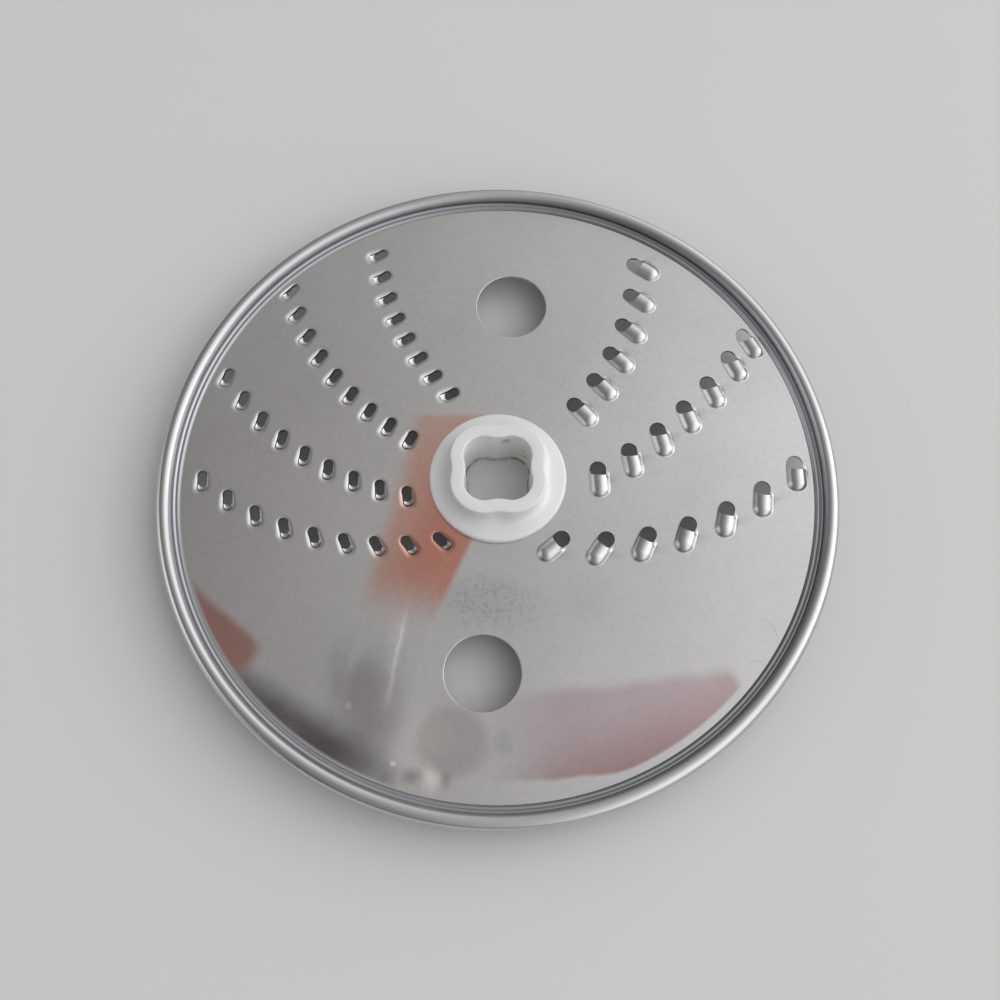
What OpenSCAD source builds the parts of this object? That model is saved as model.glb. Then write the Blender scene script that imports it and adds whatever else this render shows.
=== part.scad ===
// Reversible grating disc of a food processor: a pressed steel disc on a moulded plastic hub.
// The origin is under the hub's axis on the surface that the disc stands on, +Z is up,
// and +Y runs from the hub through one finger hole. The coarse teeth stand up on the +X side,
// the fine teeth are pressed down on the -X side, so either face can be turned up.

/* [Steel disc] */
// Outside diameter over the raised rim
disc_d = 175; // [168:1:190]
// Thickness of the steel sheet
sheet_t = 0.8; // [0.6:0.05:1]
// Diameter of each finger hole
finger_hole_d = 18.9; // [16:0.1:20]
// Distance of each finger hole's centre from the axis
finger_hole_at = 50.8; // [46:0.1:56]

/* [Rim] */
// Radius of the half-round bead along the edge, measured outside
bead_r = 1.95; // [1.6:0.05:2.4]
// Height of the bead's centre over the plate's upper face
bead_rise = 1.25; // [1.1:0.05:1.6]
// How far the outer flank comes down below the bead's centre
bead_skirt = 1; // [0.5:0.1:1.6]
// Width of the inner ledge
inner_ledge_w = 0.55; // [0.4:0.05:0.8]
// Height of the inner ledge over the plate
inner_ledge_h = 0.65; // [0.4:0.05:0.8]
// Width of the outer ledge, which carries the bead
outer_ledge_w = 0.35; // [0.25:0.05:0.6]
// Height of the outer ledge over the plate
outer_ledge_h = 1.05; // [0.9:0.05:1.1]
// Width of the sloped riser in front of each ledge
riser_w = 0.5; // [0.4:0.05:0.7]
// Radius of the bends at the feet and tops of the risers
bend_r = 0.18; // [0.1:0.02:0.22]

/* [Coarse teeth] */
// Diameter of the punched hole in front of a coarse tooth
coarse_hole_d = 4.3; // [3.6:0.1:4.6]
// Width of the raised barrel at the plate
coarse_barrel_w = 5; // [4.4:0.1:5.2]
// How far the barrel stands outwards from the middle of the hole
coarse_shift = 0.3; // [0:0.05:0.4]
// Height of the barrel over the plate
coarse_barrel_h = 1.55; // [1.2:0.05:1.8]
// Length from the middle of the hole to the tail
coarse_tooth_l = 7.8; // [6.8:0.1:8]
// Wall of the barrel
coarse_wall = 0.55; // [0.4:0.05:0.7]
// Radius of the innermost ring of coarse teeth
coarse_first_ring = 23.1; // [22.9:0.1:24]
// How far the tail of a coarse tooth turns inwards from the tangent of its ring, in degrees
coarse_turn = 4; // [0:1:6]

/* [Fine teeth] */
// Diameter of the punched hole in front of a fine tooth
fine_hole_d = 2.7; // [2.2:0.1:3]
// Width of the pressed barrel at the plate
fine_barrel_w = 3.1; // [2.7:0.1:3.4]
// Height of the barrel under the plate
fine_barrel_h = 1.2; // [1:0.05:1.4]
// Length from the middle of the hole to the tail
fine_tooth_l = 4.8; // [4.2:0.1:5.2]
// Width of the slot that lengthens the hole towards the tail
fine_slot_w = 2.4; // [2:0.1:2.6]
// Distance of the slot's end from the middle of the hole
fine_slot_end = 2.7; // [2.2:0.05:2.8]
// Wall of the barrel
fine_wall = 0.4; // [0.3:0.05:0.5]
// Width of the soft dish that the punch draws around a fine tooth
fine_dish_w = 4.7; // [4.2:0.1:5]
// Depth of that dish
fine_dish_depth = 0.5; // [0.3:0.05:0.55]
// Radius of the innermost ring of fine teeth
fine_first_ring = 22.1; // [21.8:0.1:23]

/* [Hub] */
// Whole height of the hub, the same above and below the plate
hub_h = 16; // [14.5:0.5:20]
// Diameter of the two round flanges that hold the plate
flange_d = 35.4; // [34:0.2:37]
// Thickness of a flange at the foot of the boss
flange_t = 1.9; // [1.6:0.1:2.4]
// Fall of the flange towards its edge
flange_fall = 0.3; // [0.1:0.05:0.5]
// Rounding of the flange's edge
flange_edge_r = 0.9; // [0.6:0.1:1]
// Diameter of the neck inside the plate's centre hole
neck_d = 28; // [27:0.5:29]
// Diameter of each key where the neck reaches into the plate
key_d = 3; // [2:0.5:3.6]
// Turn of the lobes against the line through the finger holes, in degrees
hub_turn = 5; // [0:1:15]
// Width of the four-lobed boss
boss_w = 24.3; // [23.5:0.1:25]
// Depth of the dent in the middle of each side of the boss
boss_dent = 0.35; // [0.2:0.05:0.5]
// Radius of the hollow bend at the boss's foot
foot_r = 1.9; // [1.2:0.1:2.2]
// Rounding of the boss's upper edge
boss_edge_r = 0.5; // [0.3:0.1:0.8]

/* [Drive socket] */
// Width of the four-lobed socket at its mouth
socket_w = 17.4; // [16.8:0.1:18]
// Distance of each lobe's centre from the two middle planes
lobe_at = 3.4; // [3:0.1:3.8]
// Depth of the ridge in the middle of each wall
socket_ridge = 0.4; // [0.25:0.05:0.7]
// Draft of each wall over its height
socket_draft = 0.2; // [0.1:0.05:0.4]
// Height of the lip at the lower end
lip_h = 1.6; // [1:0.1:2.4]
// How far the lip stands in from the wall
lip_in = 0.3; // [0.15:0.05:0.5]
// Chamfer at both mouths
mouth_chamfer = 0.35; // [0.2:0.05:0.6]

/* [Hidden] */
$fn = 48;

// Overrun of a cut past the face that it goes through
over = 0.5;
// How much larger the ball at a barrel's tail is than the barrel, so the two meet at an edge
tail_extra = 0.03;
// Steps along one rounded bend of a profile
bend_steps = 4;
// Steps along a small bend of the rim
rim_steps = 2;

disc_r = disc_d / 2;
plate_mid = hub_h / 2;
plate_top = plate_mid + sheet_t / 2;
plate_under = plate_mid - sheet_t / 2;
neck_r = neck_d / 2;

// Radii along the rim, from the edge inwards
bead_foot = disc_r - 2 * bead_r;
outer_ledge_from = bead_foot - outer_ledge_w;
outer_riser_from = outer_ledge_from - riser_w;
inner_ledge_from = outer_riser_from - inner_ledge_w;
plate_edge = inner_ledge_from - riser_w;

// Rings of teeth between the first one and the plate's edge
coarse_pitch_share = 0.1544;
fine_pitch_share = 0.1141;
coarse_pitch = coarse_pitch_share * (plate_edge - coarse_first_ring);
fine_pitch = fine_pitch_share * (plate_edge - fine_first_ring);

// Each row of coarse teeth follows an arc: how many teeth, the arc's radius and the distance of
// its centre as shares of the disc's radius, and the way to that centre. The rows are shifted
// against each other by a third of the pitch.
coarse_counts = [7, 7, 6];
coarse_rows = len(coarse_counts);
coarse_arc_shares = [0.926, 1.337, 0.857];
coarse_centre_shares = [0.78, 1.245, 0.898];
coarse_centre_angles = [74.5, 111.3, 122.1];

// The same for the fine teeth, whose rows are shifted by a quarter of the pitch
fine_counts = [9, 9, 9, 8];
fine_rows = len(fine_counts);
fine_arc_share = 0.857;
fine_centre_shares = [0.731, 0.801, 0.89, 0.997];
fine_centre_angles = [120.2, 101.3, 82.8, 65.6];

// No tooth's hole comes nearer to the rim's first riser than this share of its barrel's width
rim_margin_share = 0.52;

// Points of an arc of radius r about [x, z], from one angle to the other
function arc(x, z, r, from, to, steps) =
    [for (i = [0:steps]) let (a = from + (to - from) * i / steps) [x + r * cos(a), z + r * sin(a)]];

// Points of a sloped riser with bent foot and top, from [x, low] up to [x + riser_w, high]
function riser(x, low, high) =
    let (slope = atan2(high - low, riser_w), back = bend_r * tan(slope / 2))
    concat(
        arc(x - back, low + bend_r, bend_r, -90, -90 + slope, rim_steps),
        arc(x + riser_w + back, high - bend_r, bend_r, 90 + slope, 90, rim_steps)
    );

// The upper line of the two risers over the plate's upper face, from the plate outwards
function rim_line() = concat(
    riser(plate_edge, 0, inner_ledge_h),
    riser(outer_riser_from, inner_ledge_h, outer_ledge_h)
);

// Distance of the tooth with this number from the axis
function ring(first, pitch, shift, number, limit) = min(first + pitch * (shift + number), limit);

// Way to the tooth, where its ring crosses the row's arc on the given side of the arc's centre
function crossing(r, arc_r, centre_at, centre_angle, side) =
    centre_angle + side * acos((r * r + centre_at * centre_at - arc_r * arc_r) / (2 * r * centre_at));

// The raised rim around the plate, with z = 0 on the plate's upper face
module rim() {
    top = rim_line();
    rotate_extrude() {
        // Ledges and the foot of the bead
        polygon(concat(
            [[plate_edge, 0]],
            top,
            [
                [bead_foot, outer_ledge_h],
                [bead_foot, bead_rise],
                [bead_foot + sheet_t, bead_rise],
                [bead_foot + sheet_t, outer_ledge_h - sheet_t]
            ],
            [for (i = [len(top) - 1:-1:0]) top[i] - [0, sheet_t]],
            [[plate_edge, -sheet_t]]
        ));
        // Half-round bead
        translate([disc_r - bead_r, bead_rise])
            difference() {
                circle(r = bead_r);
                circle(r = bead_r - sheet_t);
                translate([-2 * bead_r, -2 * bead_r])
                    square([4 * bead_r, 2 * bead_r]);
            }
        // Outer flank
        translate([disc_r - sheet_t, bead_rise - bead_skirt])
            square([sheet_t, bead_skirt]);
    }
}

// Radius of the lying barrel whose top is h over the plate and which is w wide there
function barrel_r(w, h) = (h * h + w * w / 4) / (2 * h);

// A lying barrel with a ball at its tail, from the hole's middle towards -Y
module barrel(r, axis_z, l) {
    translate([0, 0, axis_z]) {
        rotate([90, 0, 0])
            cylinder(r = r, h = l);
        translate([0, -l, 0])
            sphere(r = r + tail_extra);
    }
}

// The outside of a tooth that stands up from z = 0 and opens towards +Y
module tooth_shell(w, h, l, shift) {
    r = barrel_r(w, h);
    translate([shift, 0, 0])
        intersection() {
            barrel(r, h - r, l - w / 2);
            translate([-w, -l - w, -sheet_t / 2])
                cube([2 * w, l + w, h + sheet_t]);
        }
}

// The punched hole and the hollow under a tooth
module tooth_hollow(w, h, l, shift, hole_d, wall) {
    r = barrel_r(w, h);
    translate([0, 0, -sheet_t - over])
        cylinder(d = hole_d, h = sheet_t + h + 2 * over);
    translate([shift, 0, 0])
        barrel(r - wall, h - r, l - w / 2);
}

// Puts a tooth on its place in a row
module on_row(r, angle, turn) {
    rotate([0, 0, angle])
        translate([r, 0, 0])
            rotate([0, 0, turn])
                children();
}

// Every coarse place, with the children set on it
module coarse_places() {
    limit = plate_edge - rim_margin_share * coarse_barrel_w - coarse_shift;
    for (row = [0:coarse_rows - 1])
        for (k = [0:coarse_counts[row] - 1]) {
            r = ring(coarse_first_ring, coarse_pitch, row / coarse_rows, k, limit);
            on_row(r, crossing(r, coarse_arc_shares[row] * disc_r, coarse_centre_shares[row] * disc_r,
                coarse_centre_angles[row], -1), -coarse_turn)
                children();
        }
}

// Every fine place, with the children set on it
module fine_places() {
    limit = plate_edge - rim_margin_share * fine_barrel_w;
    for (row = [0:fine_rows - 1])
        for (k = [0:fine_counts[row] - 1]) {
            r = ring(fine_first_ring, fine_pitch, row / fine_rows, k, limit);
            on_row(r, crossing(r, fine_arc_share * disc_r, fine_centre_shares[row] * disc_r,
                fine_centre_angles[row], 1), 0)
                children();
        }
}

// Slot that lengthens the hole of a fine tooth towards its tail
module slot() {
    translate([0, fine_slot_end - fine_slot_w / 2, -sheet_t - fine_barrel_h - over])
        cylinder(d = fine_slot_w, h = sheet_t + fine_barrel_h + 2 * over);
}

// Two sphere caps of the soft dish, side by side along a fine tooth
module dish() {
    r = barrel_r(fine_dish_w, fine_dish_depth);
    for (along = [0, fine_tooth_l - fine_dish_w / 2])
        translate([0, along, 0])
            intersection() {
                translate([0, 0, r - fine_dish_depth])
                    sphere(r = r);
                translate([0, 0, -sheet_t])
                    cylinder(d = fine_dish_w + 2 * over, h = sheet_t + over / 2);
            }
}

// The keyed outline that the hub fills in the plate's centre hole
module key_posts(from, h) {
    for (turn = [0:90:270])
        rotate([0, 0, turn + 45])
            translate([neck_r, 0, from])
                cylinder(d = key_d, h = h);
}

// The sheet with its rim and the outsides of its teeth, with z = 0 on the plate's upper face
module raised_sheet() {
    translate([0, 0, -sheet_t])
        cylinder(r = plate_edge, h = sheet_t);
    rim();
    coarse_places()
        tooth_shell(coarse_barrel_w, coarse_barrel_h, coarse_tooth_l, coarse_shift);
    translate([0, 0, -sheet_t])
        fine_places()
            rotate([180, 0, 0])
                tooth_shell(fine_barrel_w, fine_barrel_h, fine_tooth_l, 0);
}

// The holes that take the fingers and the hub
module plain_holes() {
    for (side = [-1, 1])
        translate([0, side * finger_hole_at, -sheet_t - over])
            cylinder(d = finger_hole_d, h = sheet_t + 2 * over);
    translate([0, 0, -sheet_t - over])
        cylinder(r = neck_r, h = sheet_t + 2 * over);
    key_posts(-sheet_t - over, sheet_t + 2 * over);
}

module grating_disc() {
    color([0.74, 0.74, 0.73])
        translate([0, 0, plate_top])
            difference() {
                raised_sheet();
                plain_holes();
                coarse_places()
                    tooth_hollow(coarse_barrel_w, coarse_barrel_h, coarse_tooth_l, coarse_shift,
                        coarse_hole_d, coarse_wall);
                translate([0, 0, -sheet_t])
                    fine_places()
                        rotate([180, 0, 0])
                            tooth_hollow(fine_barrel_w, fine_barrel_h, fine_tooth_l, 0,
                                fine_hole_d, fine_wall);
                fine_places() {
                    slot();
                    dish();
                }
            }
}

// A four-lobed column whose outline follows [radius, z] points, with dents in the middle of its sides
module lobed(points, dent) {
    low = points[0][1];
    high = points[len(points) - 1][1];
    for (x = [-lobe_at, lobe_at], y = [-lobe_at, lobe_at])
        translate([x, y, 0])
            rotate_extrude()
                polygon(concat([[0, low]], points, [[0, high]]));
    side = [for (p = points) [lobe_at + p[0] - dent, p[1]]];
    for (turn = [0, 90])
        rotate([0, 0, turn])
            rotate([90, 0, 0])
                translate([0, 0, -lobe_at])
                    linear_extrude(2 * lobe_at)
                        polygon(concat(side, [for (i = [len(side) - 1:-1:0]) [-side[i][0], side[i][1]]]));
}

// Half of the hub above the plate's middle, without the socket
module hub_half() {
    lobe_r = boss_w / 2 - lobe_at;
    half = hub_h / 2;
    flange_z = sheet_t / 2 + flange_t;
    edge_z = flange_z - flange_fall - flange_edge_r;
    flange_r = flange_d / 2;
    lobed(concat(
        [[lobe_r + foot_r, sheet_t]],
        arc(lobe_r + foot_r, flange_z + foot_r - flange_fall, foot_r, -90, -180, bend_steps),
        arc(lobe_r - boss_edge_r, half - boss_edge_r, boss_edge_r, 0, 90, bend_steps)
    ), boss_dent);
    rotate_extrude()
        polygon(concat(
            [[0, sheet_t / 2], [flange_r, sheet_t / 2]],
            arc(flange_r - flange_edge_r, edge_z, flange_edge_r, 0, 90, bend_steps),
            [[neck_r, flange_z], [0, flange_z]]
        ));
}

// Outline of the socket from its lower mouth to its upper one
function socket_line() =
    let (lobe_r = socket_w / 2 - lobe_at, low_r = lobe_r - socket_draft, lip_r = low_r - lip_in)
    [
        [lip_r + mouth_chamfer + over, -over],
        [lip_r, mouth_chamfer],
        [lip_r, lip_h],
        [low_r, lip_h + lip_in],
        [lobe_r, hub_h - mouth_chamfer],
        [lobe_r + mouth_chamfer + over, hub_h + over]
    ];

module drive_hub() {
    color([0.9, 0.92, 0.91])
        difference() {
            translate([0, 0, plate_mid])
                union() {
                    rotate([0, 0, hub_turn]) {
                        hub_half();
                        mirror([0, 0, 1])
                            hub_half();
                    }
                    translate([0, 0, -sheet_t / 2])
                        cylinder(r = neck_r, h = sheet_t);
                    key_posts(-sheet_t / 2, sheet_t);
                }
            rotate([0, 0, hub_turn])
                lobed(socket_line(), socket_ridge);
        }
}

grating_disc();
drive_hub();
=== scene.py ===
# The looks of a reversible grating disc: the pressed steel sheet with its teeth, the moulded hub,
# their finishes, and the floor, lamps and camera. Shapes are drawn in millimetres in the part's
# frame and are made metres when each piece is finished.
import math

import bmesh
import bpy
from mathutils import Matrix, Vector


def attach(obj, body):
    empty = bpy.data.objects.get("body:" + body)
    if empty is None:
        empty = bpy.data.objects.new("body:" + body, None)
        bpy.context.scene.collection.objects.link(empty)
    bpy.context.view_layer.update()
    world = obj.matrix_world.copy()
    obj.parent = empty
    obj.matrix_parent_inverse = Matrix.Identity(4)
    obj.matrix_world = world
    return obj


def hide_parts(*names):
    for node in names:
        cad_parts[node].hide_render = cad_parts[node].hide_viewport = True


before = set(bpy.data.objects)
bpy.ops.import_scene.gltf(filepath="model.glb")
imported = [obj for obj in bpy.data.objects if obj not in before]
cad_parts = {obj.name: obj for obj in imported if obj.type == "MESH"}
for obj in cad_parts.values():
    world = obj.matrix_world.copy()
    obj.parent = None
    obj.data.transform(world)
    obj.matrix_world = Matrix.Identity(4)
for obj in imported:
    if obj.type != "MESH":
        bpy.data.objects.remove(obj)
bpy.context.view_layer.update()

MM = 0.001

# Points nearer than this are one point when a piece is finished
MERGE_WITHIN = 0.004

# Sheet and rim
DISC_R = 87.5
SHEET_T = 0.8
PLATE_TOP = 8.4
PLATE_UNDER = PLATE_TOP - SHEET_T
FINGER_HOLE_R = 9.45
FINGER_HOLE_AT = 50.8
BEAD_R = 1.95
BEAD_RISE = 1.25
BEAD_SKIRT = 1.0
INNER_LEDGE_W = 0.55
INNER_LEDGE_H = 0.65
OUTER_LEDGE_W = 0.35
OUTER_LEDGE_H = 1.05
RISER_W = 0.5
BEND_R = 0.18
RIM_STEPS = 288
BEAD_FOOT = DISC_R - 2 * BEAD_R
OUTER_RISER = BEAD_FOOT - OUTER_LEDGE_W - RISER_W
PLATE_EDGE = OUTER_RISER - INNER_LEDGE_W - RISER_W

# Profile of a punched wall, how far outside the hole's radius and how high over the plate's upper face
PUNCH_PROFILE = ((0.3, 0), (0.16, 0), (0.075, -0.02), (0.02, -0.075), (0, -0.16), (0, 0.05 - SHEET_T),
                 (0.05, -SHEET_T), (0.3, -SHEET_T))

# From this share of its radius outwards a barrel's flank runs straight down
FLANK_FROM_SHARE = 0.93

# Coarse teeth: hole, barrel, the flat room around them, the press mark beside them and their rows
COARSE_HOLE_R = 2.15
COARSE_W = 5
COARSE_SHIFT = 0.3
COARSE_H = 1.55
COARSE_L = 7.8
COARSE_TAIL_AT = COARSE_L - COARSE_W / 2
COARSE_WALL = 0.55
COARSE_TURN = -4
COARSE_ROOM = 3.25
MARK_AT = 2.68
MARK_W = 0.1
MARK_DEPTH = 0.1
COARSE_FIRST_RING = 23.1
COARSE_PITCH = 9.05

# Fine teeth: hole and slot, barrel, the dish and the trough in it, and their rows
FINE_HOLE_R = 1.35
FINE_SLOT_W = 2.5
FINE_SLOT_END = 2.7
FINE_W = 3.1
FINE_H = 1.2
FINE_L = 4.8
FINE_TAIL_AT = FINE_L - FINE_W / 2 - 0.05
FINE_DISH_DEPTH = 0.29
TROUGH_DEPTH = 1.15
TROUGH_HOLLOW = 0.25
TAIL_RISE = 0.5
FINE_FORWARD = 0.5
FINE_ROOM = 2.55
FINE_FIRST_RING = 22.1
FINE_PITCH = 6.8

# Rows: how many teeth, the arc's radius as a share of ROW_ARC_R, the distance of its centre as a
# share of the disc's radius, and the way to that centre in degrees
ROW_ARC_R = 75
COARSE_ROWS = ((7, 1.08, 0.78, 74.5), (7, 1.56, 1.245, 111.3), (6, 1.0, 0.898, 122.1))
FINE_ROWS = ((9, 1.0, 0.731, 120.2), (9, 1.0, 0.801, 101.3), (9, 1.0, 0.89, 82.8), (8, 1.0, 0.997, 65.6))
RIM_MARGIN_SHARE = 0.52

# Grid of each tooth's mesh: distances of its lines from the middle line, and its steps round the
# front of the hole, along the sides and round the tail
COARSE_GRID = [0, 0.4, 0.8, 1.15, 1.45, 1.7, 1.9, 2.04, COARSE_HOLE_R, 2.26, 2.38, 2.5, 2.6, 2.7, 2.8,
               2.9, 3.0, 3.12, COARSE_ROOM]
COARSE_GRID_STEPS = (8, 7, 9)
FINE_GRID = [0, 0.35, 0.65, 0.9, 1.08, 1.13, 1.19, FINE_SLOT_W / 2, 1.3, FINE_HOLE_R, 1.45, 1.6, 1.78,
             1.98, 2.2, 2.42, FINE_ROOM]
FINE_GRID_STEPS = (6, 5, 7)

# Hub
HUB_H = 16
FLANGE_R = 17.7
FLANGE_T = 1.9
FLANGE_FALL = 0.3
FLANGE_EDGE_R = 0.9
NECK_R = 14
KEY_R = 1.5
HUB_TURN = math.radians(5)
LOBE_AT = 3.4
BOSS_R = 12.15 - LOBE_AT
BOSS_DENT = 0.35
BOSS_EDGE_R = 0.5
FOOT_R = 1.9
SOCKET_R = 8.7 - LOBE_AT
SOCKET_RIDGE = 0.4
SOCKET_DRAFT = 0.2
LIP_H = 1.6
LIP_IN = 0.3
MOUTH_CHAMFER = 0.35
HUB_STEPS = 192

# Colours
STEEL = (0.640, 0.628, 0.622, 1)
DULLER_STEEL = (0.575, 0.565, 0.560, 1)
WHITE_PLASTIC = (0.80, 0.81, 0.80, 1)
YELLOWED_PLASTIC = (0.74, 0.745, 0.73, 1)
DIRT = (0.16, 0.12, 0.085, 1)
SMUDGE = (0.22, 0.21, 0.2, 1)
SCRATCH = (0.2, 0.18, 0.16, 1)
PALE_FLOOR = (0.72, 0.71, 0.695, 1)

# Camera, as it stood for the photo
CAMERA_AZIMUTH, CAMERA_ELEVATION, CAMERA_ROLL = 3.61, 70.01, 0.56
CAMERA_AIM = (0.99, -5.97, PLATE_TOP)
CAMERA_AWAY = 274.9
CAMERA_LENS = 38.52

# Room light: where the way leans from -X to +X, how bright it is there and how cool
ROOM_STEPS = ((-1, 1.6, 1.5), (-0.93, 0.75, 2), (-0.78, 0.28, 1.5), (-0.7, 0.11, 0), (-0.6, 0.13, 0),
              (-0.48, 0.21, 0), (-0.3, 0.205, 0), (-0.14, 0.31, 0.2), (0, 0.375, 0.4), (0.15, 0.51, 0.8),
              (0.27, 0.67, 1), (0.42, 0.95, 1), (1, 1.0, 1))
ROOM_STRENGTH = 1.45
ROOM_LOW = 0.35
FLOOR_SIZE = 6


# Working with one piece at a time

def pick(*pieces):
    """Leaves only these pieces selected, the first one active."""
    if bpy.context.object and bpy.context.object.mode != "OBJECT":
        bpy.ops.object.mode_set(mode="OBJECT")
    bpy.ops.object.select_all(action="DESELECT")
    for piece in pieces:
        piece.select_set(True)
    bpy.context.view_layer.objects.active = pieces[0]


def pick_none():
    """Leaves nothing selected, ready to add a piece."""
    pick(*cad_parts.values())
    bpy.ops.object.select_all(action="DESELECT")


def edit(piece):
    """Opens a piece for editing with nothing selected."""
    pick(piece)
    bpy.ops.object.mode_set(mode="EDIT")
    bpy.ops.mesh.select_all(action="DESELECT")
    return bmesh.from_edit_mesh(piece.data)


def end_edit():
    """Ends editing."""
    bpy.ops.object.mode_set(mode="OBJECT")


def named(name):
    """Names the piece that was just added."""
    piece = bpy.context.object
    piece.name = piece.data.name = name
    return piece


def new_ring(name, count, radius, z):
    """An open ring of edges, radius a number or a function of the angle."""
    pick_none()
    bpy.ops.mesh.primitive_circle_add(vertices=count, radius=1, fill_type="NOTHING")
    ring = named(name)
    for v in ring.data.vertices:
        v.co = at_angle(v.co, radius, z)
    return ring


def at_angle(co, radius, z):
    """The point on the same ray from the axis as co."""
    a = math.atan2(co.y, co.x)
    r = radius(a) if callable(radius) else radius
    return Vector((r * math.cos(a), r * math.sin(a), z))


def turn_up(piece, sections):
    """Extrudes the ring section by section, each section (radius, z)."""
    bm = edit(piece)
    for e in bm.edges:
        e.select = True
    bm.select_flush(True)
    for radius, z in sections:
        bpy.ops.mesh.extrude_edges_move()
        bm = bmesh.from_edit_mesh(piece.data)
        for v in bm.verts:
            if v.select:
                v.co = at_angle(v.co, radius, z)
        bmesh.update_edit_mesh(piece.data)
    end_edit()


def arc(x, z, r, start, end, steps):
    """Points (x, z) of an arc, angles in degrees."""
    angles = [math.radians(start + (end - start) * i / steps) for i in range(steps + 1)]
    return [(x + r * math.cos(a), z + r * math.sin(a)) for a in angles]


def finish_piece(piece, angle, material, node):
    """Closes seams, turns faces outwards, makes metres of millimetres, smooths, and puts the piece on
    the part."""
    edit(piece)
    bpy.ops.mesh.select_all(action="SELECT")
    bpy.ops.mesh.remove_doubles(threshold=MERGE_WITHIN)
    bpy.ops.mesh.normals_make_consistent(inside=False)
    end_edit()
    piece.data.transform(Matrix.Scale(MM, 4))
    bpy.ops.object.shade_smooth_by_angle(angle=math.radians(angle))
    piece.data.materials.clear()
    piece.data.materials.append(material)
    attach(piece, "root")
    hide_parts(node)


# The teeth

def smooth_top(a, b, soft):
    """The higher of two heights, rounded where they cross."""
    return (a + b + math.sqrt((a - b) ** 2 + soft * soft)) / 2


def smooth_step(x, low, high):
    """0 below low, 1 above high and a soft step between them."""
    t = min(max((x - low) / (high - low), 0), 1)
    return t * t * (3 - 2 * t)


def barrel_height(d, w, h):
    """Height of a lying barrel of width w and height h at the distance d from its middle line."""
    r = (h * h + w * w / 4) / (2 * h)
    edge = FLANK_FROM_SHARE * r
    if d < edge:
        return math.sqrt(r * r - d * d) - (r - h)
    slope = edge / math.sqrt(r * r - edge * edge)
    return math.sqrt(r * r - edge * edge) - (r - h) - slope * (d - edge)


def coarse_upper(x, along, d):
    """Upper face of the sheet at a coarse tooth, with a faint press mark along the outer flank. The
    barrel rises behind the mouth, and later on its outer side."""
    off = math.hypot(x - COARSE_SHIFT, max(0, along - COARSE_TAIL_AT))
    behind_mouth = smooth_step(along - 1.3 * smooth_step(x, 1.3, 2.3), 0.1, 1.1)
    lift = smooth_top(barrel_height(off, COARSE_W, COARSE_H), 0, 0.2) - 0.03
    lift *= 1 - smooth_step(off, COARSE_W / 2, COARSE_ROOM - COARSE_SHIFT - 0.12)
    mark = MARK_DEPTH * math.exp(-((off - MARK_AT) / MARK_W) ** 2) if x > 0 else 0
    mark *= 1 - smooth_step(along, 3.0, 5.0)
    return (lift - mark) * behind_mouth if d < COARSE_ROOM - 0.03 else 0


def coarse_lower(x, along, d):
    """Lower face of the sheet at a coarse tooth, with the open hollow."""
    r = (COARSE_H ** 2 + COARSE_W ** 2 / 4) / (2 * COARSE_H) - COARSE_WALL
    off = math.hypot(x - COARSE_SHIFT, max(0, along - COARSE_TAIL_AT))
    hollow = COARSE_H - COARSE_WALL - r + math.sqrt(max(r * r - off * off, 0))
    return -SHEET_T + max(hollow + SHEET_T, 0) * smooth_step(along, -0.5, 0.1)


def fine_upper(x, along, d):
    """Upper face of the sheet at a fine tooth: a soft dish with a trough in its middle."""
    rim = FINE_SLOT_W / 2 + 0.05
    wide = smooth_step(along, -0.5, 2.2)
    q = min(max((d - rim) / (FINE_ROOM - 0.15 - rim) / (0.65 + 0.35 * wide), 0), 1)
    to_end = max(-along, along - FINE_TAIL_AT, 0) / max(d, 0.01)
    dish = -FINE_DISH_DEPTH * (0.7 + 0.35 * wide) * (1 - q) ** 1.8 * (1 - 0.6 * to_end)
    risen = TAIL_RISE * smooth_step(along, 2.6, FINE_TAIL_AT + rim)
    trough = -TROUGH_DEPTH + TROUGH_HOLLOW * d * d + risen
    return trough + (dish - trough) * smooth_step(d, rim - 0.2, rim)


def fine_lower(x, along, d):
    """Lower face of the sheet at a fine tooth, with the barrel that stands down from it."""
    if d > FINE_ROOM - 0.06:
        return -SHEET_T
    drop = smooth_top(barrel_height(d, FINE_W, FINE_H), 0, 0.12)
    return -SHEET_T - drop * (1 - smooth_step(d, FINE_W / 2 + 0.3, FINE_ROOM - 0.06))


def mouth_of_coarse(x):
    """How far behind the hole's middle the sheet begins. The lip leans back towards the outer side."""
    if abs(x) >= COARSE_HOLE_R:
        return 0
    corner = math.sqrt(1 - (abs(x) / COARSE_HOLE_R) ** 12)
    return (2.15 + 0.12 * x - 0.09 * x * x) * corner


def mouth_of_fine(x):
    """How far behind the hole's middle the sheet begins, at the end of the slot or beside it."""
    d, half = abs(x), FINE_SLOT_W / 2
    if d < half - 0.01:
        return FINE_SLOT_END - half + half * math.sqrt(1 - (d / half) ** 2.6)
    return math.sqrt(max(FINE_HOLE_R ** 2 - d * d, 0))


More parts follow.
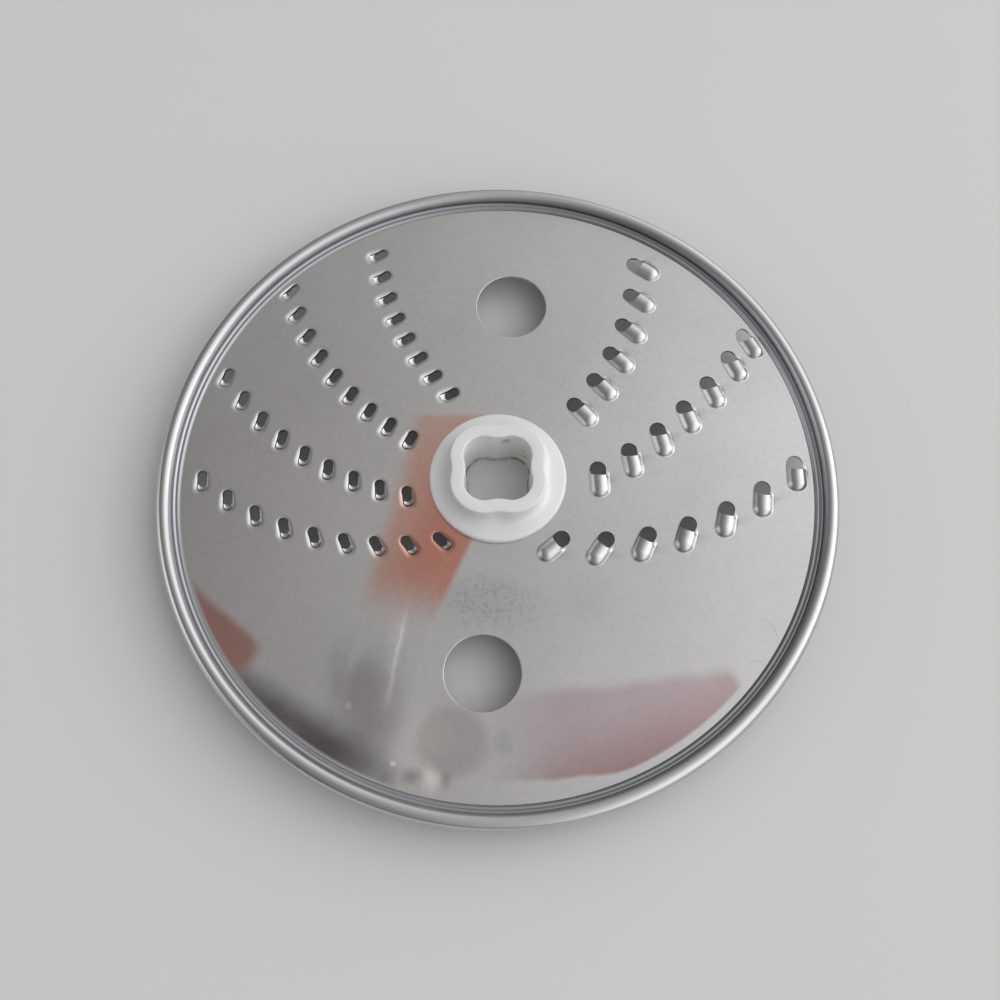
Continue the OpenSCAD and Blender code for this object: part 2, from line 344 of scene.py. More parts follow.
def tooth_sheet(name, offsets, hole_r, mouth, tail_at, upper, lower, rows):
    """One tooth with the sheet around it: a grid wrapped round the hole and the tail, above and below.
    The hole's middle is the origin, and the tail points towards -Y."""
    front, side, tail = rows
    across = [-o for o in reversed(offsets)] + offsets[1:]
    columns, lines = len(across) - 1, front + side + tail
    pick_none()
    faces = []
    for height in (upper, lower):
        bpy.ops.mesh.primitive_grid_add(x_subdivisions=columns, y_subdivisions=lines, size=1)
        face = named(name)
        faces.append(face)
        in_hole = []
        for v in face.data.vertices:
            column = round((v.co.x + 0.5) * columns)
            line = round((0.5 - v.co.y) * lines)
            x = across[column]
            d = abs(x)
            sign = math.copysign(1, x)
            if line < front:
                a = math.radians(90 * line / front)
                x, y = sign * d * math.sin(a), d * math.cos(a)
                if d < hole_r - 1e-6:
                    in_hole.append(v.index)
            elif line <= front + side:
                t = (line - front) / side
                y = -mouth(x) - (tail_at - mouth(x)) * t
            else:
                a = math.radians(90 * (1 - (line - front - side) / tail))
                x, y = sign * d * math.sin(a), -tail_at - d * math.cos(a)
            v.co = (x, y, height(x, -y, d))
        hollow = set(in_hole)
        bm = edit(face)
        bm.verts.ensure_lookup_table()
        for f in bm.faces:
            f.select = any(v.index in hollow for v in f.verts)
        bpy.ops.mesh.delete(type="FACE")
        bpy.ops.mesh.select_all(action="DESELECT")
        bm = bmesh.from_edit_mesh(face.data)
        for v in bm.verts:
            v.select = not v.link_faces
        bpy.ops.mesh.delete(type="VERT")
        bpy.ops.mesh.select_all(action="SELECT")
        bpy.ops.mesh.remove_doubles(threshold=MERGE_WITHIN / 4)
        end_edit()
    tooth = faces[0]
    pick(*faces)
    bpy.ops.object.join()
    # The wall of the hole, between both faces
    bm = edit(tooth)
    inner = 0.95 * offsets[-1]
    for e in bm.edges:
        middle = (e.verts[0].co + e.verts[1].co) / 2
        d = math.hypot(middle.x, max(0, -middle.y - tail_at, middle.y))
        e.select = e.is_boundary and d < inner
    bpy.ops.mesh.bridge_edge_loops()
    end_edit()
    return tooth


def ring_of(first, pitch, shift, number):
    """Distance of a tooth from the axis."""
    return first + pitch * (shift + number)


def way_to(r, arc_r, centre_at, centre_angle, side):
    """Angle at which a ring crosses the arc of a row."""
    c = (r * r + centre_at * centre_at - arc_r * arc_r) / (2 * r * centre_at)
    return math.radians(centre_angle) + side * math.acos(c)


def places(rows, first, pitch, limit, side, turn):
    """Distance from the axis, angle and own turn of each tooth, with the rows shifted against each
    other by a part of the pitch."""
    for row, (count, arc_share, centre, angle) in enumerate(rows):
        for k in range(count):
            r = min(ring_of(first, pitch, row / len(rows), k), limit)
            yield r, way_to(r, arc_share * ROW_ARC_R, centre * DISC_R, angle, side), turn


def coarse_places():
    """Where the coarse teeth stand, on the right side of the plate."""
    limit = PLATE_EDGE - RIM_MARGIN_SHARE * COARSE_W - COARSE_SHIFT
    return places(COARSE_ROWS, COARSE_FIRST_RING, COARSE_PITCH, limit, -1, math.radians(COARSE_TURN))


def fine_places():
    """Where the fine teeth stand, on the left side of the plate."""
    limit = PLATE_EDGE - RIM_MARGIN_SHARE * FINE_W
    return places(FINE_ROWS, FINE_FIRST_RING, FINE_PITCH, limit, 1, math.pi)


def kept_on_plate(co):
    """Draws a point that would reach the rim back onto the flat plate."""
    r = math.hypot(co.x, co.y)
    start, reach, limit = PLATE_EDGE - 1.6, PLATE_EDGE + 1.1, PLATE_EDGE - 0.3
    if r < start:
        return co
    new = start + (r - start) * (limit - start) / (reach - start)
    return Vector((co.x * new / r, co.y * new / r, co.z))


def set_in_rows(tooth, all_places, forward=0):
    """Copies of a tooth on all its places, each with its own mesh."""
    out = []
    for r, angle, turn in all_places:
        copy = tooth.copy()
        copy.data = tooth.data.copy()
        bpy.context.collection.objects.link(copy)
        copy.data.transform(Matrix.Rotation(angle, 4, "Z") @ Matrix.Translation((r, 0, 0))
                            @ Matrix.Rotation(turn, 4, "Z") @ Matrix.Translation((0, forward, 0)))
        if max(v.co.xy.length for v in copy.data.vertices) > PLATE_EDGE - 0.1:
            for v in copy.data.vertices:
                v.co = kept_on_plate(v.co)
        out.append(copy)
    bpy.data.objects.remove(tooth)
    return out


# The sheet

def riser(x, low, high):
    """A sloped riser with bent foot and top."""
    slope = math.degrees(math.atan2(high - low, RISER_W))
    back = BEND_R * math.tan(math.radians(slope / 2))
    return (arc(x - back, low + BEND_R, BEND_R, -90, -90 + slope, 4)
            + arc(x + RISER_W + back, high - BEND_R, BEND_R, 90 + slope, 90, 4))


def neck_hole(a):
    """Radius of the centre hole with its four key notches."""
    off = a % (math.pi / 2) - math.pi / 4
    across = NECK_R * math.sin(off)
    if abs(across) >= KEY_R:
        return NECK_R
    return max(NECK_R, NECK_R * math.cos(off) + math.sqrt(KEY_R ** 2 - across ** 2))


def wider(radius, extra):
    """An outline that is wider all round."""
    return lambda a: radius(a) + extra


def punched_wall(name, count, radius, centre=(0, 0)):
    """Wall of a punched hole, with the sheet's soft upper and sharper lower edge."""
    sections = [(wider(radius, extra), z) for extra, z in PUNCH_PROFILE]
    wall = new_ring(name, count, *sections[0])
    turn_up(wall, sections[1:])
    wall.data.transform(Matrix.Translation((*centre, 0)))
    return wall


def make_sheet(material):
    """The rim as one turned profile, the teeth and the punched walls, and the plate between them."""
    upper = riser(PLATE_EDGE, 0, INNER_LEDGE_H) + riser(OUTER_RISER, INNER_LEDGE_H, OUTER_LEDGE_H)
    foot = [(BEAD_FOOT - 0.06, OUTER_LEDGE_H), (BEAD_FOOT, OUTER_LEDGE_H + 0.06)]
    bead = arc(DISC_R - BEAD_R, BEAD_RISE, BEAD_R, 176, 0, 22)
    skirt = BEAD_RISE - BEAD_SKIRT
    end = arc(DISC_R - SHEET_T / 2, skirt + SHEET_T / 2, SHEET_T / 2, 0, -180, 8)
    inner = arc(DISC_R - BEAD_R, BEAD_RISE, BEAD_R - SHEET_T, 0, 180, 14)
    under = [(x + 0.25, z - SHEET_T) for x, z in reversed(upper)]
    edge = PLATE_EDGE - 0.2
    outside = [(edge, 0)] + upper + foot + bead + end + inner + under + [(edge, -SHEET_T)]
    rim = new_ring("grating_sheet", RIM_STEPS, *outside[0])
    turn_up(rim, outside[1:])
    coarse = tooth_sheet("coarse_tooth", COARSE_GRID, COARSE_HOLE_R, mouth_of_coarse,
                         COARSE_TAIL_AT, coarse_upper, coarse_lower, COARSE_GRID_STEPS)
    fine = tooth_sheet("fine_tooth", FINE_GRID, FINE_HOLE_R, mouth_of_fine,
                       FINE_TAIL_AT, fine_upper, fine_lower, FINE_GRID_STEPS)
    parts = set_in_rows(coarse, coarse_places()) + set_in_rows(fine, fine_places(), FINE_FORWARD)
    for side in (-1, 1):
        parts.append(punched_wall("finger_hole", 72, lambda a: FINGER_HOLE_R, (0, side * FINGER_HOLE_AT)))
    parts.append(punched_wall("neck_hole", HUB_STEPS, neck_hole))
    pick(rim, *parts)
    bpy.ops.object.join()
    # The flat plate between all these edges, above and below
    for level in (0, -SHEET_T):
        bm = edit(rim)
        for e in bm.edges:
            e.select = e.is_boundary and all(abs(v.co.z - level) < 0.01 for v in e.verts)
        bpy.ops.mesh.fill(use_beauty=True)
        end_edit()
    rim.data.transform(Matrix.Translation((0, 0, PLATE_TOP)))
    finish_piece(rim, 38, material, "grating_disc")


# The hub

def lobed(r, dent):
    """Radius of a four-lobed outline with lobes of radius r, as a function of the angle."""
    def radius(a):
        c, s = abs(math.cos(a - HUB_TURN)), abs(math.sin(a - HUB_TURN))
        to_lobe = LOBE_AT * (c + s)
        hit = to_lobe + math.sqrt(r * r - 2 * LOBE_AT ** 2 + to_lobe ** 2)
        flat = (LOBE_AT + r - dent) / max(c, s)
        if flat * min(c, s) > LOBE_AT:
            return hit
        return smooth_top(hit, flat, 0.12)
    return radius


def between(inner, outer, share):
    """An outline part of the way from one to another."""
    def radius(a):
        low = inner(a)
        return low + (outer - low) * share
    return radius


def make_hub(material):
    """The hub as one closed run of rings: up the socket, down the outside and under the foot."""
    top = HUB_H
    low_r = SOCKET_R - SOCKET_DRAFT
    lip_r = low_r - LIP_IN
    flange_z = PLATE_TOP + FLANGE_T
    edge_z = flange_z - FLANGE_FALL - FLANGE_EDGE_R
    foot_z = flange_z - 0.05

    def socket(r, z):
        return lobed(r, SOCKET_RIDGE), z

    inside = [socket(lip_r + x, z) for x, z in
              arc(MOUTH_CHAMFER, MOUTH_CHAMFER, MOUTH_CHAMFER, -90, -180, 4)]
    inside += [socket(lip_r, 0.6), socket(lip_r, LIP_H - 0.12), socket(lip_r + 0.04, LIP_H),
               socket(low_r - 0.06, LIP_H + 0.12), socket(low_r, LIP_H + 0.3), socket(low_r + 0.02, 3)]
    inside += [socket(low_r + SOCKET_DRAFT * z / top, z) for z in (6, 9, 12, 14.6)]
    inside += [socket(SOCKET_R + x, top + z) for x, z in
               arc(MOUTH_CHAMFER, -MOUTH_CHAMFER, MOUTH_CHAMFER, 180, 90, 5)]

    def outside_half():
        rings = [(lobed(BOSS_R + x, BOSS_DENT), top + z) for x, z in
                 arc(-BOSS_EDGE_R, -BOSS_EDGE_R, BOSS_EDGE_R, 90, 0, 5)]
        rings += [(lobed(BOSS_R + 0.02, BOSS_DENT), z) for z in (14, 13)]
        rings += [(lobed(BOSS_R + x, BOSS_DENT), z) for x, z in
                  arc(FOOT_R, foot_z + FOOT_R, FOOT_R, 180, 270, 8)]
        foot = lobed(BOSS_R + FOOT_R, BOSS_DENT)
        brow = FLANGE_R - FLANGE_EDGE_R
        rings += [(between(foot, brow, share), foot_z - (FLANGE_FALL - 0.05) * share ** 1.5)
                  for share in (0.25, 0.5, 0.75)]
        rings += arc(brow, edge_z, FLANGE_EDGE_R, 90, 0, 7)
        rings += [(FLANGE_R, PLATE_TOP + 0.08), (FLANGE_R - 0.08, PLATE_TOP)]
        return rings

    upper = outside_half()
    lower = [(radius, HUB_H - z) for radius, z in reversed(upper)]
    rings = inside + upper + [(neck_hole, PLATE_TOP), (neck_hole, PLATE_TOP - SHEET_T)] + lower
    hub = new_ring("moulded_hub", HUB_STEPS, *rings[0])
    # The last ring falls on the first one again and is joined to it when the piece is finished
    turn_up(hub, rings[1:] + rings[:1])
    finish_piece(hub, 50, material, "drive_hub")


# Finishes

def new_finish(name, metallic, roughness):
    """An empty finish: its material, a function that adds nodes, its shader and its coordinates."""
    material = bpy.data.materials.new(name)
    material.use_nodes = True
    tree = material.node_tree
    shader = tree.nodes["Principled BSDF"]
    shader.inputs["Metallic"].default_value = metallic
    shader.inputs["Roughness"].default_value = roughness

    def add(kind, inputs=(), **settings):
        node = tree.nodes.new("ShaderNode" + kind)
        for key, value in settings.items():
            setattr(node, key, value)
        for key, value in dict(inputs).items():
            if isinstance(value, bpy.types.NodeSocket):
                tree.links.new(value, node.inputs[key])
            else:
                node.inputs[key].default_value = value
        return node

    place = add("TexCoord").outputs["Object"]
    return material, tree, add, shader, place


def times(add, *shares):
    """The product of several shares."""
    out = shares[0]
    for share in shares[1:]:
        out = add("Math", {0: out, 1: share}, operation="MULTIPLY").outputs[0]
    return out


def ramp(add, value, low, high, to_low=0.0, to_high=1.0):
    """A soft step of a value between low and high."""
    return add("MapRange", {"Value": value, "From Min": low, "From Max": high, "To Min": to_low,
                            "To Max": to_high}, interpolation_type="SMOOTHSTEP").outputs["Result"]


def blend(add, tone, share, colour, how="MIX"):
    """The tone with a share of a colour mixed into it or multiplied on it."""
    return add("Mix", {"Factor": share, "A": tone, "B": colour}, data_type="RGBA",
               blend_type=how).outputs[2]


def past(add, place, point, way, soft):
    """A straight soft edge through a point: 0 before it, 1 past it along the way. Millimetres."""
    length = math.hypot(*way)
    unit = (way[0] / length, way[1] / length)
    reach = add("VectorMath", {0: place, 1: (*unit, 0)}, operation="DOT_PRODUCT").outputs["Value"]
    start = (point[0] * unit[0] + point[1] * unit[1]) * MM
    return ramp(add, reach, start - soft * MM, start + soft * MM)


def distance(add, place, centre, size=(1, 1)):
    """Distance from a centre, in shares of the two half sizes."""
    back = [-c * MM for c in centre] + [0]
    moved = add("VectorMath", {0: place, 1: back}, operation="ADD").outputs[0]
    scaled = add("VectorMath", {0: moved, 1: (1 / (size[0] * MM), 1 / (size[1] * MM), 0)},
                 operation="MULTIPLY").outputs[0]
    return add("VectorMath", {0: scaled}, operation="LENGTH").outputs["Value"]


def spot(add, place, centre, size, soft):
    """A soft-edged oval patch: 1 in its middle, 0 outside."""
    return ramp(add, distance(add, place, centre, size), 1 + soft, 1 - soft)


def hoop(add, place, centre, r, width):
    """A thin soft ring."""
    off = add("Math", {0: distance(add, place, centre), 1: r}, operation="SUBTRACT").outputs[0]
    return ramp(add, add("Math", {0: off}, operation="ABSOLUTE").outputs[0], width, 0)


def stroke(add, place, start, end, left, right, ends):
    """A patch along the line from start to end that fades out over the widths left and right of it."""
    dx, dy = end[0] - start[0], end[1] - start[1]
    to_left = (-dy, dx)
    to_right = (dy, -dx)
    scale = 1 / math.hypot(dx, dy)
    left_end = (start[0] - dy * scale * left / 2, start[1] + dx * scale * left / 2)
    right_end = (start[0] + dy * scale * right / 2, start[1] - dx * scale * right / 2)
    return times(add, past(add, place, left_end, to_right, left / 2),
                 past(add, place, right_end, to_left, right / 2),
                 past(add, place, start, (dx, dy), ends), past(add, place, end, (-dx, -dy), ends))


def make_steel():
    """Worn steel on the plate's upper face, with painted reflections and painted highlights of the room,
    and some stains and wipe marks.
    """
    material, tree, add, shader, place = new_finish("worn_stainless_sheet", 1, 0.22)
    flat = add("VectorMath", {0: place, 1: (1, 1, 0)}, operation="MULTIPLY").outputs[0]
    # A slow drift and a fine grain in the steel's own grey
    cloud = add("TexNoise", {"Vector": place, "Scale": 16, "Detail": 5, "Roughness": 0.6}).outputs["Fac"]
    fine = add("TexNoise", {"Vector": place, "Scale": 900, "Detail": 1, "Roughness": 0.6}).outputs["Fac"]
    tone = blend(add, STEEL, ramp(add, cloud, 0.3, 0.72), DULLER_STEEL)
    # Edges of the painted reflections and of the stains waver a little
    wave = add("TexNoise", {"Vector": place, "Scale": 60, "Detail": 3}).outputs["Color"]
    sway = add("VectorMath", {0: wave, 1: (-0.5, -0.5, -0.5)}, operation="ADD").outputs[0]
    shift = add("VectorMath", {0: sway, 1: (3.5 * MM, 3.5 * MM, 0)}, operation="MULTIPLY").outputs[0]
    wavering_place = add("VectorMath", {0: shift, 1: flat}, operation="ADD").outputs[0]
    curl = add("TexNoise", {"Vector": place, "Scale": 38, "Detail": 3, "Distortion": 1.4}).outputs["Fac"]
    specks = ramp(add, fine, 0.46, 0.66)
    from_axis = distance(add, place, (0, 0))
    height = add("SeparateXYZ", {0: place}).outputs["Z"]
    inside_rim = ramp(add, from_axis, PLATE_EDGE - 0.1, PLATE_EDGE - 1.1)
    on_plate = times(add, inside_rim,
                     ramp(add, height, (PLATE_UNDER + 0.15) * MM, (PLATE_TOP - 0.35) * MM))

    # Where the painted reflections and the stains lie, places in millimetres
    # Painted warm reflection of the room beside the hub, deeper nearer it, and on the left
    warm_reflection_by_hub = times(add, past(add, flat, (-10, -29.9), (-0.942, 0.336), 0.9),
                        past(add, wavering_place, (-26, -7), (0.985, -0.17), 3),
                        past(add, wavering_place, (-18, -36), (0.15, 1), 6.5),
                        past(add, wavering_place, (-15, 16.8), (0.05, -1), 1.1),
                        past(add, flat, (-5, 0), (-1, 0), 1))
    warm_reflection_deep = times(add, warm_reflection_by_hub, past(add, wavering_place, (-24, -20), (0.98, -0.2), 8),
                      past(add, wavering_place, (-14, -31), (0.1, 1), 7), past(add, wavering_place, (-18, 10), (0, -1), 10))
    warm_reflection_on_left = times(add, past(add, wavering_place, (-61.2, -43.2), (-0.61, -0.79), 1.6),
                         past(add, wavering_place, (-57, -53), (-0.6, 0.8), 2.4),
                         past(add, wavering_place, (-55.8, -48), (-1, 0.1), 2.2))
    # Painted dark reflection by the rim, weaker on the right, and a painted dark haze beside it
    weaker_on_right = ramp(add, past(add, flat, (-30, -70), (-1, 0), 11), 0, 1, 0.55, 1)
    dark_reflection_by_rim = times(add, past(add, wavering_place, (-40.7, -63.2), (-0.44, -0.9), 3.8), weaker_on_right,
                        past(add, wavering_place, (-18.5, -72), (-1, 0.15), 2.5),
                        past(add, wavering_place, (-57.4, -52.5), (0.75, -0.66), 3))
    dark_reflection_haze = times(add, spot(add, wavering_place, (-28, -59), (8, 15), 0.6),
                      ramp(add, curl, 0.3, 0.62, 0.25, 1))
    # Painted pink reflection low on the right, stronger further out
    pink_reflection_low = times(add, past(add, wavering_place, (44, -49), (0.185, -0.983), 2),
                     past(add, wavering_place, (12, -60), (1, -0.1), 12),
                     ramp(add, from_axis, PLATE_EDGE - 1.5, PLATE_EDGE - 2.5),
                     past(add, wavering_place, (20, -74), (-0.163, 0.987), 0.8),
                     past(add, wavering_place, (61.6, -47.5), (-0.85, -0.53), 1.4))
    pink_reflection_deep = times(add, pink_reflection_low, past(add, wavering_place, (42, -62), (0.45, -0.89), 11))
    # Each patch's share and the colour that it multiplies the steel's grey by, lighter ones over 1. Most
    # are painted reflections and painted highlights of the room; some are stains and wipe marks
    for share, colour in (
            # Painted warm reflections by the hub and on the left
            (warm_reflection_by_hub, (1.02, 0.74, 0.66, 1)),
            (warm_reflection_deep, (0.98, 0.65, 0.57, 1)),
            (warm_reflection_on_left, (0.80, 0.47, 0.42, 1)),
            # Painted dark reflection by the rim and its painted haze
            (times(add, dark_reflection_by_rim, ramp(add, curl, 0.25, 0.6, 0.8, 1)), (0.27, 0.25, 0.26, 1)),
            (dark_reflection_haze, (0.66, 0.64, 0.66, 1)),
            # Painted pink reflection low on the right
            (times(add, pink_reflection_low, 0.9), (0.82, 0.69, 0.71, 1)),
            (pink_reflection_deep, (0.72, 0.53, 0.52, 1)),
            # Light streaks along the plate: wipe marks, lightened further as painted reflection
            (stroke(add, wavering_place, (-19.9, -38), (-22.5, -61), 1.0, 4.6, 4), (1.16, 1.17, 1.17, 1)),
            (stroke(add, wavering_place, (-20.2, -37), (-22.6, -59), 0.6, 0.9, 6), (1.24, 1.22, 1.22, 1)),
            (stroke(add, wavering_place, (-31, -46), (-34, -66), 2.5, 2.0, 6), (1.12, 1.12, 1.12, 1)),
            # Painted reflections and painted highlights: soft light and dark spots low towards the rim
            (spot(add, wavering_place, (-15, -69), (5, 8), 0.5), (1.1, 1.1, 1.08, 1)),
            (spot(add, wavering_place, (-10.2, -76.3), (1.7, 2.6), 0.95), (1.4, 1.38, 1.33, 1)),
            (spot(add, wavering_place, (-15.0, -76), (2.2, 1.6), 0.95), (0.66, 0.64, 0.64, 1)),
            (spot(add, wavering_place, (-6.6, -76.6), (1.2, 1.9), 0.95), (0.76, 0.74, 0.74, 1)),
            (spot(add, flat, (-19.4, -73.8), (0.7, 0.6), 0.6), (1.5, 1.5, 1.5, 1)),
            (spot(add, flat, (-31.5, -61), (0.7, 0.9), 0.6), (1.35, 1.35, 1.35, 1)),
            (hoop(add, wavering_place, (-5.4, -67.5), 9.6, 2.4), (1.05, 1.04, 1.03, 1)),
            (times(add, spot(add, wavering_place, (-5.4, -67.5), (8.6, 8.6), 0.4),
                   ramp(add, curl, 0.2, 0.6, 0.75, 1)), (0.79, 0.78, 0.77, 1)),
            (spot(add, wavering_place, (-8.3, -66.5), (3, 3.6), 0.5), (1.07, 1.08, 1.06, 1)),
            (spot(add, wavering_place, (6.5, -66.8), (2.2, 3), 0.5), (0.84, 0.88, 0.92, 1)),
            (times(add, spot(add, wavering_place, (-1, -33.5), (13, 6), 0.7), ramp(add, specks, 0, 1, 0.5, 1)),
             (0.80, 0.79, 0.79, 1)),
            (spot(add, wavering_place, (25, -30), (6, 5), 0.7), (0.93, 0.945, 0.985, 1)),
            (times(add, hoop(add, flat, (66, -37.5), 5.6, 0.22),
                   past(add, flat, (66, -37.5), (1, -0.4), 3)), (0.86, 0.86, 0.86, 1)),
            (times(add, specks, 0.3), (0.88, 0.875, 0.87, 1))):
        tone = blend(add, tone, times(add, share, on_plate), colour, "MULTIPLY")
    # The ledges inside the bead darker and bluer, and painted shade down in the troughs of the fine teeth
    ledges = times(add, ramp(add, from_axis, PLATE_EDGE - 0.15, PLATE_EDGE + 0.1),
                   ramp(add, from_axis, BEAD_FOOT + 1.2, BEAD_FOOT + 0.3))
    tails = times(add, ramp(add, height, (PLATE_UNDER + 0.03) * MM, (PLATE_UNDER + 0.08) * MM),
                  ramp(add, height, (PLATE_TOP - 0.3) * MM, (PLATE_TOP - 0.5) * MM), inside_rim)
    tone = blend(add, tone, ledges, (0.6, 0.63, 0.66, 1), "MULTIPLY")
    tone = blend(add, tone, tails, (0.7, 0.69, 0.68, 1), "MULTIPLY")
    # Painted shade in the creases at the feet of both risers and of the bead
    for r, width, dark in ((PLATE_EDGE + 0.02, 0.16, 0.42), (OUTER_RISER + 0.02, 0.14, 0.5),
                           (BEAD_FOOT, 0.14, 0.5)):
        tone = blend(add, tone, hoop(add, flat, (0, 0), r, width), (dark, dark, dark, 1), "MULTIPLY")
    tree.links.new(tone, shader.inputs["Base Color"])
    # Gloss: duller on the wiped plate and on the ledges than on the bead
    drift = add("TexNoise", {"Vector": place, "Scale": 13, "Detail": 0}).outputs["Fac"]
    rough = add("Math", {0: ramp(add, drift, 0.3, 0.75, 0.18, 0.26), 1: times(add, on_plate, 0.06)},
                operation="ADD").outputs[0]
    rough = add("Math", {0: rough, 1: times(add, ledges, 0.12)}, operation="ADD").outputs[0]
    tree.links.new(rough, shader.inputs["Roughness"])
    return material


def make_plastic():
    """White plastic with dirt low in the socket, a smudge and scratches."""
    material, tree, add, shader, place = new_finish("moulded_white_plastic", 0, 0.38)
    shader.inputs["Subsurface Weight"].default_value = 0.08
    shader.inputs["Subsurface Scale"].default_value = 2 * MM
    cloud = add("TexNoise", {"Vector": place, "Scale": 90, "Detail": 3}).outputs["Fac"]
    yellowed = add("MapRange", {"Value": cloud, "From Min": 0.4, "From Max": 0.8, "To Min": 0,
                                "To Max": 0.5}).outputs[0]
    tone = blend(add, WHITE_PLASTIC, yellowed, YELLOWED_PLASTIC)
    # Dirt on the lip low in the socket
    flat = add("VectorMath", {0: place, 1: (1, 1, 0)}, operation="MULTIPLY").outputs[0]
    reach = add("VectorMath", {0: flat}, operation="LENGTH").outputs["Value"]
    in_socket = add("Math", {0: reach, 1: 10.2 * MM}, operation="LESS_THAN").outputs[0]
    height = add("SeparateXYZ", {0: place}).outputs["Z"]
    grain = add("TexNoise", {"Vector": place, "Scale": 420, "Detail": 3}).outputs["Fac"]
    grit = add("MapRange", {"Value": grain, "From Min": 0.36, "From Max": 0.56, "To Min": 0.1,
                            "To Max": 0.85}).outputs[0]
    dirt = times(add, in_socket, ramp(add, height, 2.9 * MM, 1.5 * MM),
                 ramp(add, height, 0.9 * MM, 1.4 * MM), grit)
    tone = blend(add, tone, dirt, DIRT)

    def near(centre, r, soft):
        """The way from a point in space, and a share that is 1 within the distance r of the point and
        softly 0 beyond it. Millimetres."""
        moved = add("VectorMath", {0: place, 1: [-c * MM for c in centre]}, operation="ADD").outputs[0]
        away = add("VectorMath", {0: moved}, operation="LENGTH").outputs["Value"]
        return moved, ramp(add, away, (r + soft) * MM, (r - soft) * MM)

    # A smudge high on the far wall of the socket, and scratches low on its outer side
    smudge = near((1.5, 8.5, 12.9), 1.1, 0.7)[1]
    tone = blend(add, tone, times(add, smudge, 0.6), SMUDGE)
    for centre, r, way in (((6.3, 6.2, 8.0), 2.4, (0.35, -0.5, 0.8)),
                           ((6.8, 5.6, 6.0), 2.2, (0.3, -0.35, 0.9)),
                           ((5.2, 7.2, 5.0), 1.8, (-0.5, 0.2, 0.85))):
        moved, around = near(centre, r, 0.5)
        across = add("VectorMath", {0: moved, 1: way}, operation="DOT_PRODUCT").outputs["Value"]
        off = add("Math", {0: across}, operation="ABSOLUTE").outputs[0]
        line = ramp(add, off, 0.2 * MM, 0.05 * MM)
        tone = blend(add, tone, times(add, around, line, 0.85), SCRATCH)
    tree.links.new(tone, shader.inputs["Base Color"])
    # A faint grain on its surface
    skin = add("TexNoise", {"Vector": place, "Scale": 700, "Detail": 2}).outputs["Fac"]
    bump = add("Bump", {"Height": skin, "Strength": 0.08, "Distance": 0.1 * MM})
    tree.links.new(bump.outputs["Normal"], shader.inputs["Normal"])
    return material


# Floor, light and camera

def make_floor():
    """A plain pale floor under the hub's foot."""
    pick_none()
    bpy.ops.mesh.primitive_plane_add(size=FLOOR_SIZE, location=(0, 0, 0))
    floor = named("floor")
    material, _, _, shader, _ = new_finish("pale_floor", 0, 0.7)
    shader.inputs["Base Color"].default_value = PALE_FLOOR
    floor.data.materials.append(material)


def lamp(name, place, aim, size, power, colour):
    """A soft rectangular lamp, places and sizes in metres."""
    light = bpy.data.lights.new(name, "AREA")
    light.shape = "RECTANGLE"
    light.size, light.size_y = size
    light.energy = power
    light.color = colour
    holder = bpy.data.objects.new(name, light)
    bpy.context.collection.objects.link(holder)
    holder.location = place
    holder.rotation_mode = "QUATERNION"
    holder.rotation_quaternion = (Vector(aim) - Vector(place)).to_track_quat("-Z", "Y")


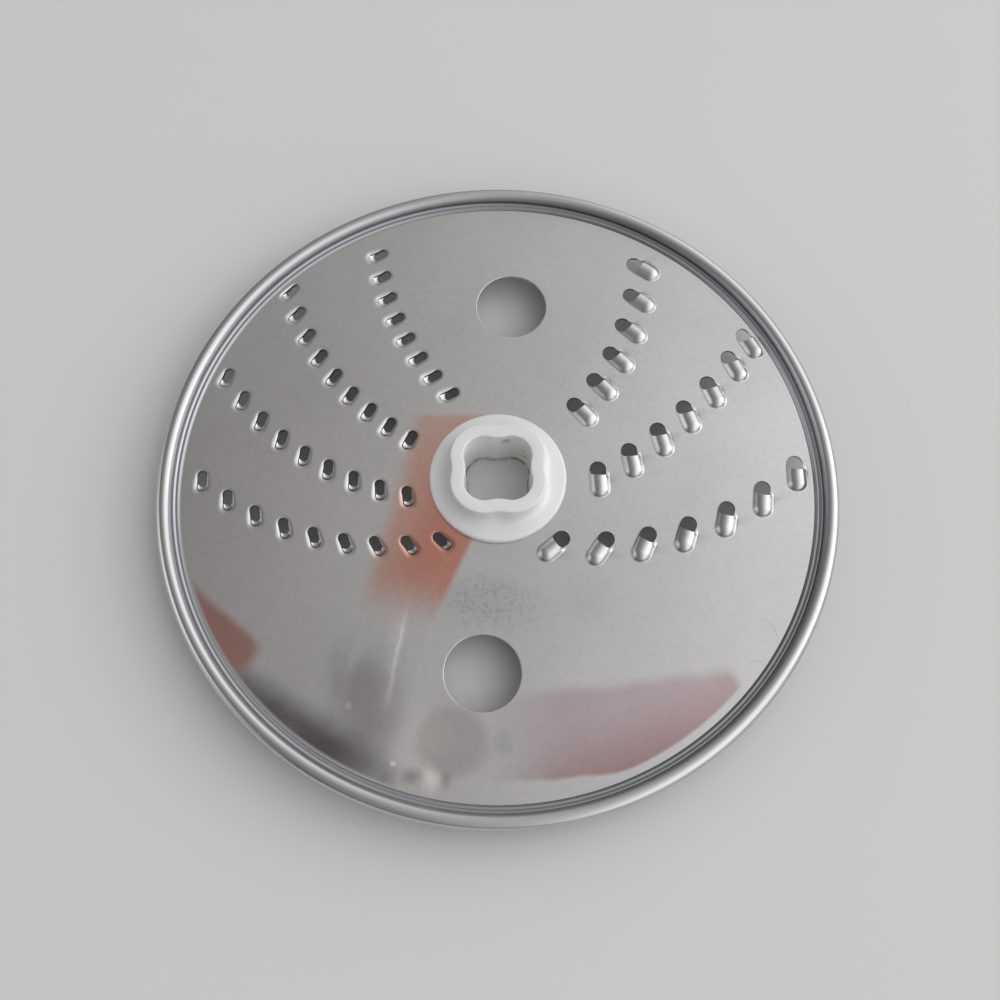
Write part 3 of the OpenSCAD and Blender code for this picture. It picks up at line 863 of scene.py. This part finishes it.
def light_up():
    """A soft room, bright towards +X, dim on the way to -X and bright again low at that side, and a
    large soft lamp at +X."""
    world = bpy.data.worlds.new("soft_room")
    bpy.context.scene.world = world
    world.use_nodes = True
    tree = world.node_tree
    ground = tree.nodes["Background"]
    way = tree.nodes.new("ShaderNodeTexCoord").outputs["Generated"]
    lean = tree.nodes.new("ShaderNodeVectorMath")
    lean.operation = "DOT_PRODUCT"
    lean.inputs[1].default_value = (0.99, 0.1, 0)
    tree.links.new(way, lean.inputs[0])
    share = tree.nodes.new("ShaderNodeMapRange")
    for key, value in (("From Min", -1), ("From Max", 1), ("To Min", 0), ("To Max", 1)):
        share.inputs[key].default_value = value
    tree.links.new(lean.outputs["Value"], share.inputs["Value"])
    room = tree.nodes.new("ShaderNodeValToRGB")
    tree.links.new(share.outputs["Result"], room.inputs["Fac"])
    while len(room.color_ramp.elements) < len(ROOM_STEPS):
        room.color_ramp.elements.new(0.5)
    for element, (lean_to, light, cool) in zip(room.color_ramp.elements, ROOM_STEPS):
        element.position = (lean_to + 1) / 2
        element.color = (light * (1 - 0.01 * cool), light * (0.975 + 0.015 * cool),
                         light * (0.955 + 0.06 * cool), 1)
    # The share of light falls to ROOM_LOW at the horizon
    height = tree.nodes.new("ShaderNodeSeparateXYZ")
    tree.links.new(way, height.inputs[0])
    skirting = tree.nodes.new("ShaderNodeMapRange")
    skirting.interpolation_type = "SMOOTHSTEP"
    for key, value in (("From Min", -0.05), ("From Max", 0.45), ("To Min", ROOM_LOW), ("To Max", 1)):
        skirting.inputs[key].default_value = value
    tree.links.new(height.outputs["Z"], skirting.inputs["Value"])
    shaded = tree.nodes.new("ShaderNodeVectorMath")
    shaded.operation = "SCALE"
    tree.links.new(room.outputs["Color"], shaded.inputs[0])
    tree.links.new(skirting.outputs["Result"], shaded.inputs["Scale"])
    tree.links.new(shaded.outputs[0], ground.inputs["Color"])
    ground.inputs["Strength"].default_value = ROOM_STRENGTH
    lamp("window_right", (1.0, 0.25, 0.5), (0, 0, 0.01), (0.7, 0.7), 2.2, (1, 0.99, 0.97))


def set_camera():
    """The camera at the photo's angle."""
    az, el, roll = (math.radians(a) for a in (CAMERA_AZIMUTH, CAMERA_ELEVATION, CAMERA_ROLL))
    back = Vector((math.sin(az) * math.cos(el), -math.cos(az) * math.cos(el), math.sin(el)))
    level = Vector((math.cos(az), math.sin(az), 0))
    up = back.cross(level)
    right = level * math.cos(roll) + up * math.sin(roll)
    up = up * math.cos(roll) - level * math.sin(roll)
    camera = bpy.data.cameras.new("camera")
    camera.sensor_width = 36
    camera.lens = CAMERA_LENS
    camera.clip_start, camera.clip_end = 0.01, 20
    holder = bpy.data.objects.new("camera", camera)
    bpy.context.collection.objects.link(holder)
    turn = Matrix((right, up, back)).transposed()
    stand = (Vector(CAMERA_AIM) + back * CAMERA_AWAY) * MM
    holder.matrix_world = Matrix.Translation(stand) @ turn.to_4x4()
    bpy.context.scene.camera = holder


make_sheet(make_steel())
make_hub(make_plastic())
make_floor()
light_up()
set_camera()
bpy.context.scene.view_settings.view_transform = "Standard"
